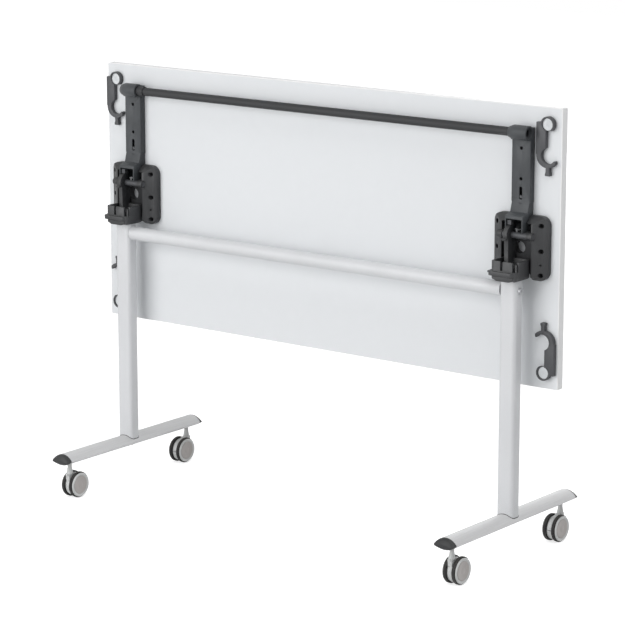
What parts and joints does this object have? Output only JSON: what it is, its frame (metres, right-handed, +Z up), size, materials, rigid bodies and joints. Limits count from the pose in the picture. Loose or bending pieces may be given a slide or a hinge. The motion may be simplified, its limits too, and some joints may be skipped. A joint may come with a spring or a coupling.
{
  "type": "flip top training table",
  "caption": "Long folding table on two wheeled T-legs; the top flips upright for nesting when a bar frees two spring latches. Hooks link tables.",
  "frame": {"origin": "on the floor, midway between the two columns", "axes": "+X along the table to the right of a person who faces its underside, +Y away from that person, +Z up"},
  "size_m": [1.2, 0.464, 0.9395],
  "materials": {
    "board": "matte melamine facing",
    "edging": "satin edge band",
    "silver_paint": "satin powder coat",
    "silver_section": "satin extrusion",
    "black_moulding": "satin, lightly textured",
    "charcoal_moulding": "satin, lightly textured",
    "charcoal_paint": "satin powder coat",
    "dark_steel": "burnished",
    "plain_steel": "zinc plated",
    "pale_moulding": "satin",
    "caster_grey": "satin",
    "caster_disc": "satin",
    "tyre_black": "matte"
  },
  "bodies": {
    "base": {"left_foot": "silver_section", "right_foot": "silver_section", "front_foot_caps": "charcoal_moulding", "rear_foot_caps": "charcoal_moulding", "left_column": "silver_paint", "right_column": "silver_paint", "crossbar": "silver_paint", "crossbar_plugs": "plain_steel", "crossbar_bolts": "plain_steel", "column_base_plugs": "plain_steel", "base_bolts": "plain_steel", "left_column_head": "black_moulding", "right_column_head": "black_moulding", "head_screws": "plain_steel", "caster_stems": "plain_steel"},
    "top": {"table_top": "board", "edge_band": "edging", "left_tilt_bracket": "black_moulding", "right_tilt_bracket": "black_moulding", "bracket_screws": "dark_steel", "left_arm": "charcoal_moulding", "right_arm": "charcoal_moulding", "arm_screws": "dark_steel", "pivot_pins": "plain_steel", "pivot_sleeves": "plain_steel", "link_bosses": "pale_moulding", "link_screws": "plain_steel", "left_latch_spring": "dark_steel", "right_latch_spring": "dark_steel"},
    "release": {"release_bar": "charcoal_paint", "release_cranks": "dark_steel"},
    "left_latch_body": {"left_latch": "dark_steel"},
    "right_latch_body": {"right_latch": "dark_steel"},
    "front_left_link_body": {"front_left_link": "black_moulding"},
    "front_right_link_body": {"front_right_link": "black_moulding"},
    "rear_left_link_body": {"rear_left_link": "black_moulding"},
    "rear_right_link_body": {"rear_right_link": "black_moulding"},
    "front_left_caster": {"front_left_fork": "caster_grey", "front_left_axle": "plain_steel"},
    "front_left_wheel_pair": {"front_left_wheels": "caster_disc", "front_left_tyres": "tyre_black"},
    "front_left_brake": {"front_left_pedal": "caster_grey"},
    "front_right_caster": {"front_right_fork": "caster_grey", "front_right_axle": "plain_steel"},
    "front_right_wheel_pair": {"front_right_wheels": "caster_disc", "front_right_tyres": "tyre_black"},
    "front_right_brake": {"front_right_pedal": "caster_grey"},
    "rear_left_caster": {"rear_left_fork": "caster_grey", "rear_left_axle": "plain_steel"},
    "rear_left_wheel_pair": {"rear_left_wheels": "caster_disc", "rear_left_tyres": "tyre_black"},
    "rear_left_brake": {"rear_left_pedal": "caster_grey"},
    "rear_right_caster": {"rear_right_fork": "caster_grey", "rear_right_axle": "plain_steel"},
    "rear_right_wheel_pair": {"rear_right_wheels": "caster_disc", "rear_right_tyres": "tyre_black"},
    "rear_right_brake": {"rear_right_pedal": "caster_grey"}
  },
  "joints": [
    {"name": "top_tilt", "type": "hinge", "parent": "base", "child": "top", "pos_m": [0, 0.012, 0.68], "axis": [1, 0, 0], "range_deg": [0, 90]},
    {"name": "release_turn", "type": "hinge", "parent": "top", "child": "release", "pos_m": [0, 0.0225, 0.886], "axis": [1, 0, 0], "range_deg": [0, 30], "stiffness_Nm_per_rad": 0.3, "springref_deg": -17.19},
    {"name": "left_latch_lift", "type": "slide", "parent": "top", "child": "left_latch_body", "axis": [0, 0, 1], "range_m": [0, 0.00726], "deforming": ["left_latch_spring"]},
    {"name": "right_latch_lift", "type": "slide", "parent": "top", "child": "right_latch_body", "axis": [0, 0, 1], "range_m": [0, 0.00726], "deforming": ["right_latch_spring"]},
    {"name": "front_left_link_swing", "type": "hinge", "parent": "top", "child": "front_left_link_body", "pos_m": [-0.57, 0.0386, 0.9055], "axis": [0, 1, 0], "range_deg": [0, 90]},
    {"name": "front_right_link_swing", "type": "hinge", "parent": "top", "child": "front_right_link_body", "pos_m": [0.57, 0.0386, 0.9055], "axis": [0, -1, 0], "range_deg": [0, 90]},
    {"name": "rear_left_link_swing", "type": "hinge", "parent": "top", "child": "rear_left_link_body", "pos_m": [-0.57, 0.0386, 0.3995], "axis": [0, -1, 0], "range_deg": [0, 90]},
    {"name": "rear_right_link_swing", "type": "hinge", "parent": "top", "child": "rear_right_link_body", "pos_m": [0.57, 0.0386, 0.3995], "axis": [0, 1, 0], "range_deg": [0, 90]},
    {"name": "front_left_swivel", "type": "hinge", "parent": "base", "child": "front_left_caster", "pos_m": [-0.514, -0.2, 0.06], "axis": [0, 0, 1], "continuous": true},
    {"name": "front_left_roll", "type": "hinge", "parent": "front_left_caster", "child": "front_left_wheel_pair", "pos_m": [-0.514, -0.183, 0.029], "axis": [1, 0, 0], "continuous": true},
    {"name": "front_left_brake_press", "type": "hinge", "parent": "front_left_caster", "child": "front_left_brake", "pos_m": [-0.514, -0.183, 0.029], "axis": [-1, 0, 0], "range_deg": [0, 12]},
    {"name": "front_right_swivel", "type": "hinge", "parent": "base", "child": "front_right_caster", "pos_m": [0.514, -0.2, 0.06], "axis": [0, 0, 1], "continuous": true},
    {"name": "front_right_roll", "type": "hinge", "parent": "front_right_caster", "child": "front_right_wheel_pair", "pos_m": [0.514, -0.183, 0.029], "axis": [1, 0, 0], "continuous": true},
    {"name": "front_right_brake_press", "type": "hinge", "parent": "front_right_caster", "child": "front_right_brake", "pos_m": [0.514, -0.183, 0.029], "axis": [-1, 0, 0], "range_deg": [0, 12]},
    {"name": "rear_left_swivel", "type": "hinge", "parent": "base", "child": "rear_left_caster", "pos_m": [-0.514, 0.2, 0.06], "axis": [0, 0, 1], "continuous": true},
    {"name": "rear_left_roll", "type": "hinge", "parent": "rear_left_caster", "child": "rear_left_wheel_pair", "pos_m": [-0.514, 0.183, 0.029], "axis": [1, 0, 0], "continuous": true},
    {"name": "rear_left_brake_press", "type": "hinge", "parent": "rear_left_caster", "child": "rear_left_brake", "pos_m": [-0.514, 0.183, 0.029], "axis": [1, 0, 0], "range_deg": [0, 12]},
    {"name": "rear_right_swivel", "type": "hinge", "parent": "base", "child": "rear_right_caster", "pos_m": [0.514, 0.2, 0.06], "axis": [0, 0, 1], "continuous": true},
    {"name": "rear_right_roll", "type": "hinge", "parent": "rear_right_caster", "child": "rear_right_wheel_pair", "pos_m": [0.514, 0.183, 0.029], "axis": [1, 0, 0], "continuous": true},
    {"name": "rear_right_brake_press", "type": "hinge", "parent": "rear_right_caster", "child": "rear_right_brake", "pos_m": [0.514, 0.183, 0.029], "axis": [1, 0, 0], "range_deg": [0, 12]}
  ],
  "couplings": [
    {"joint": "left_latch_lift", "follows": "release_turn", "m_per_rad": 0.01384},
    {"joint": "right_latch_lift", "follows": "release_turn", "m_per_rad": 0.01384}
  ]
}
